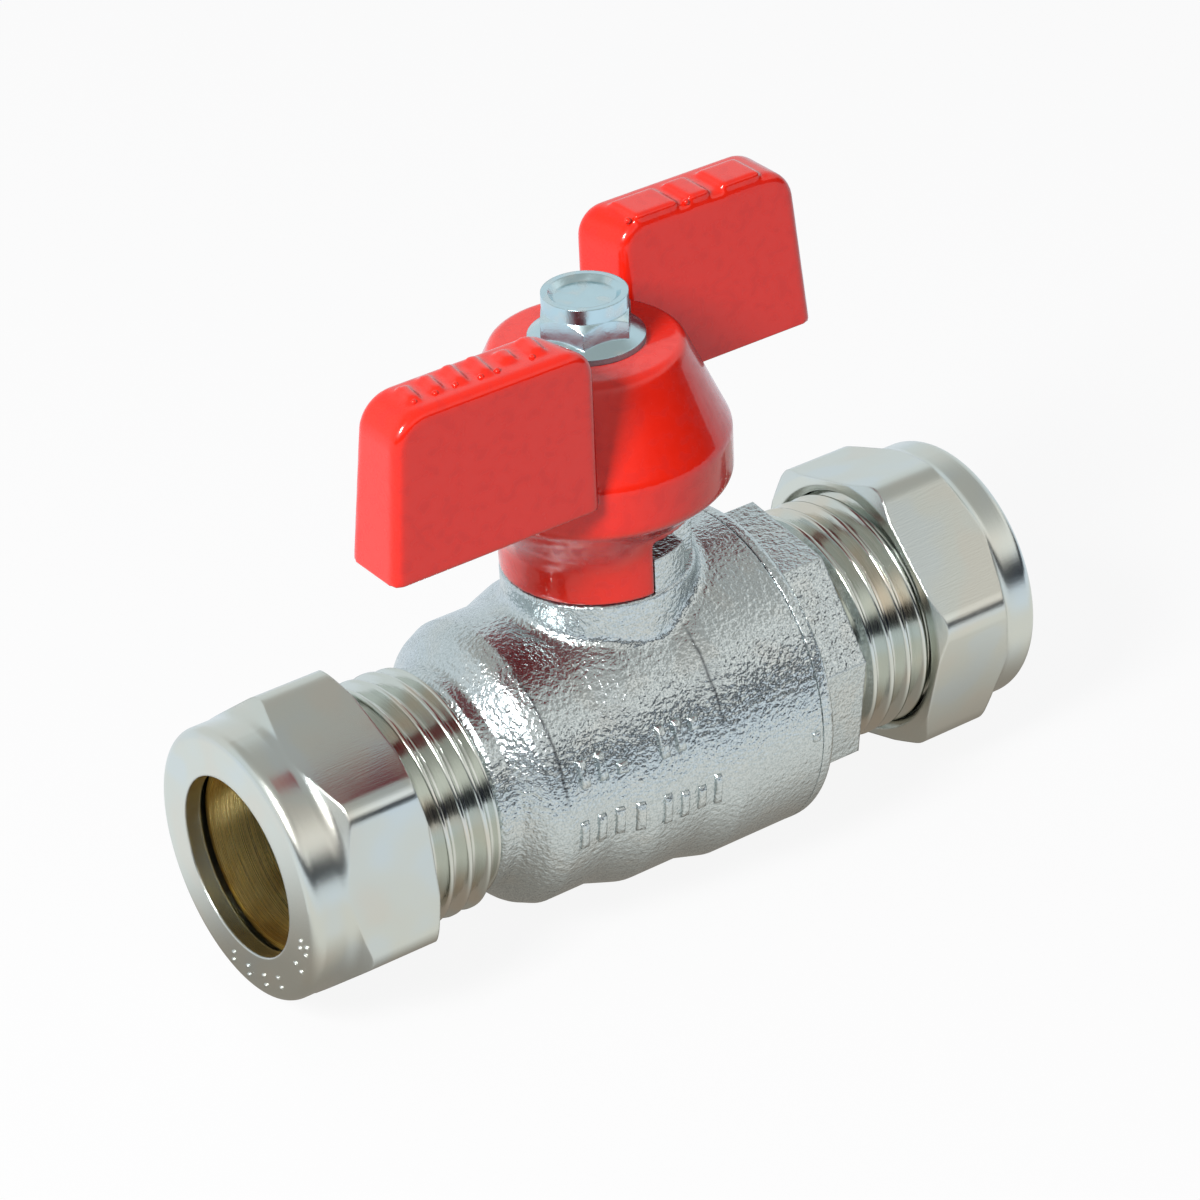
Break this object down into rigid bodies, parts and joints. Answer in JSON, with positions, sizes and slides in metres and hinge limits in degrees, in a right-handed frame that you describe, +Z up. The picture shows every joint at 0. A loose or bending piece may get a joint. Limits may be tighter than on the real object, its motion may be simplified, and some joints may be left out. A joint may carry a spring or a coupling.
{
  "type": "compression ball valve",
  "caption": "Straight ball valve with a compression nut and an olive at each end, a nickel-plated body and a red butterfly handle that opens and shuts it in a quarter turn.",
  "frame": {"origin": "centre of the ball, where the pipe's axis and the stem's axis cross", "axes": "+X along the pipe towards the end connector, +Z up the stem towards the handle; rest is open, with the wings along the pipe"},
  "size_m": [0.0734, 0.0286, 0.0549],
  "materials": {
    "blasted_nickel": "brass forging, shot-blasted and nickel-plated, satin with a fine sparkle",
    "turned_nickel": "turned brass, nickel-plated, satin",
    "olive_brass": "plain turned brass",
    "ball_chrome": "brass, polished and chrome-plated",
    "red_paint": "die-cast aluminium with a semi-gloss red powder coat",
    "zinc_steel": "bright zinc-plated steel",
    "seat_plastic": "white fluoroplastic",
    "seal_rubber": "black rubber"
  },
  "bodies": {
    "root": {"valve_body": "blasted_nickel", "end_connector": "blasted_nickel", "connector_seal": "seal_rubber", "seat_left": "seat_plastic", "seat_right": "seat_plastic"},
    "rotor": {"ball": "ball_chrome", "stem": "olive_brass", "stem_thrust_washer": "seat_plastic", "stem_seal_lower": "seal_rubber", "stem_seal_upper": "seal_rubber", "handle": "red_paint", "handle_screw": "zinc_steel"},
    "olive_left": {"olive_left": "olive_brass"},
    "nut_left": {"nut_left": "turned_nickel"},
    "olive_right": {"olive_right": "olive_brass"},
    "nut_right": {"nut_right": "turned_nickel"}
  },
  "joints": [
    {"name": "handle_turn", "type": "hinge", "parent": "root", "child": "rotor", "pos_m": [0, 0, 0], "axis": [0, 0, 1], "range_deg": [-90, 0]},
    {"name": "nut_left_travel", "type": "slide", "parent": "root", "child": "olive_left", "axis": [-1, 0, 0], "range_m": [0, 0.00453]},
    {"name": "nut_left_spin", "type": "hinge", "parent": "olive_left", "child": "nut_left", "pos_m": [0, 0, 0], "axis": [-1, 0, 0], "range_deg": [0, 900]},
    {"name": "nut_right_travel", "type": "slide", "parent": "root", "child": "olive_right", "axis": [1, 0, 0], "range_m": [0, 0.00453]},
    {"name": "nut_right_spin", "type": "hinge", "parent": "olive_right", "child": "nut_right", "pos_m": [0, 0, 0], "axis": [1, 0, 0], "range_deg": [0, 900]}
  ],
  "couplings": [
    {"joint": "nut_left_travel", "follows": "nut_left_spin", "m_per_rad": 0.00028871},
    {"joint": "nut_right_travel", "follows": "nut_right_spin", "m_per_rad": 0.00028871}
  ]
}
